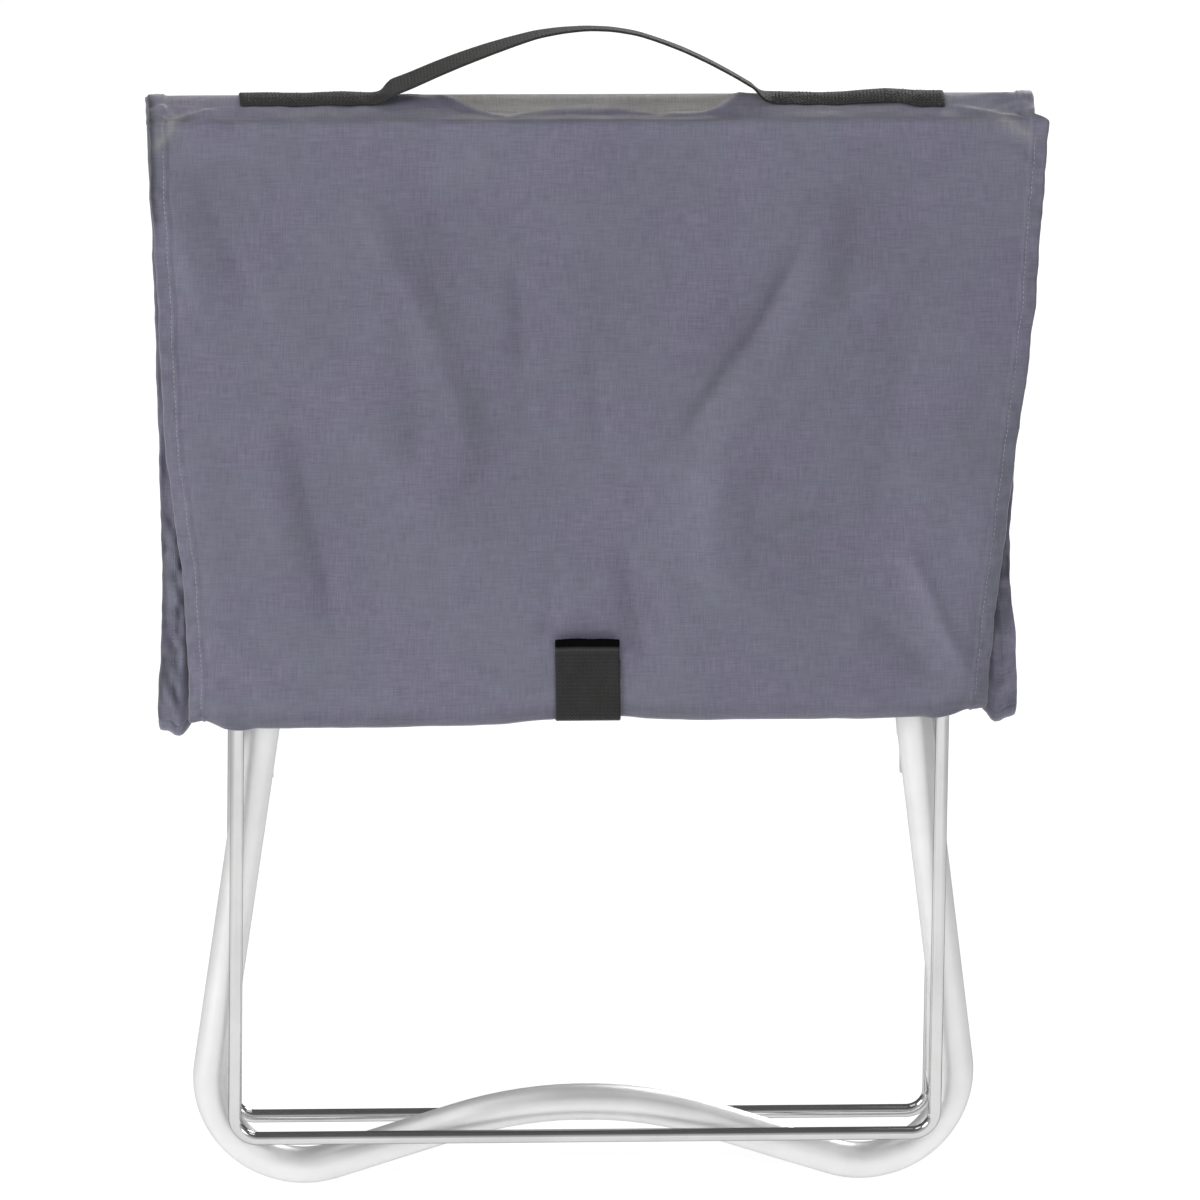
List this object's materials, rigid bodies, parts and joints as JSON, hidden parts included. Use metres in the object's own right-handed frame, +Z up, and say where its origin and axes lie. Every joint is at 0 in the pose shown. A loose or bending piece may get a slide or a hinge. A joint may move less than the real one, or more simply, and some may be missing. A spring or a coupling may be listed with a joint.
{
  "type": "folding camp chair",
  "caption": "Low folding camp chair, stored flat in its own cloth cover: bent aluminium back frame, chromed wire prop and front leg, cloth sling and webbing handle.",
  "frame": {"origin": "bottom centre of the folded chair's box, between the two base lobes, where they touch the ground", "axes": "+X to the right seen from behind the backrest, +Z up along the folded chair, +Y to the sitter's side; the cover's rear flap faces -Y"},
  "size_m": [0.536, 0.0579, 0.7251],
  "materials": {
    "frame_aluminium": "satin, lightly brushed aluminium tube",
    "chromed_wire": "bright chrome plate on round steel wire",
    "zinc_bracket": "zinc-plated pressed steel",
    "rivet": "plain aluminium rivet",
    "black_plastic": "moulded nylon, matt",
    "cover_cloth": "coated woven polyester, slub weave with a slight sheen",
    "black_webbing": "flat woven polypropylene webbing"
  },
  "bodies": {
    "rear_prop": {"rear_prop_wire": "chromed_wire", "prop_wire_ferrule": "chromed_wire", "cover_flap": "cover_cloth", "closure_tab": "black_webbing", "closure_hook_patch": "black_webbing"},
    "back_frame": {"back_frame_tube": "frame_aluminium", "frame_splice": "frame_aluminium", "splice_rivets": "rivet", "prop_clip_left": "black_plastic", "prop_clip_right": "black_plastic", "prop_clip_rivets": "rivet", "seat_bracket_left": "zinc_bracket", "seat_bracket_right": "zinc_bracket", "seat_bracket_rivets": "rivet", "seat_pivot_rivets": "rivet", "top_sleeve": "cover_cloth", "top_panel": "cover_cloth", "back_fabric": "cover_cloth", "sling_fold": "cover_cloth", "carry_handle": "black_webbing"},
    "seat_frame": {"seat_frame_tube": "frame_aluminium", "seat_tube_plugs": "black_plastic", "seat_fabric": "cover_cloth", "seat_front_sleeve": "cover_cloth", "closure_strap": "black_webbing", "leg_pivot_washers": "black_plastic"},
    "front_leg": {"front_leg_wire": "chromed_wire", "leg_pivot_caps": "black_plastic"}
  },
  "joints": [
    {"name": "back_spread", "type": "hinge", "parent": "rear_prop", "child": "back_frame", "pos_m": [0, -0.02075, 0.668], "axis": [1, 0, 0], "range_deg": [0, 16]},
    {"name": "seat_fold", "type": "hinge", "parent": "back_frame", "child": "seat_frame", "pos_m": [0, 0.02075, 0.28], "axis": [-1, 0, 0], "range_deg": [0, 100]},
    {"name": "front_leg_fold", "type": "hinge", "parent": "seat_frame", "child": "front_leg", "pos_m": [0, 0.02075, 0.38], "axis": [1, 0, 0], "range_deg": [0, 118.8]}
  ],
  "couplings": [
    {"joint": "front_leg_fold", "follows": "seat_fold", "ratio": 1.187}
  ]
}
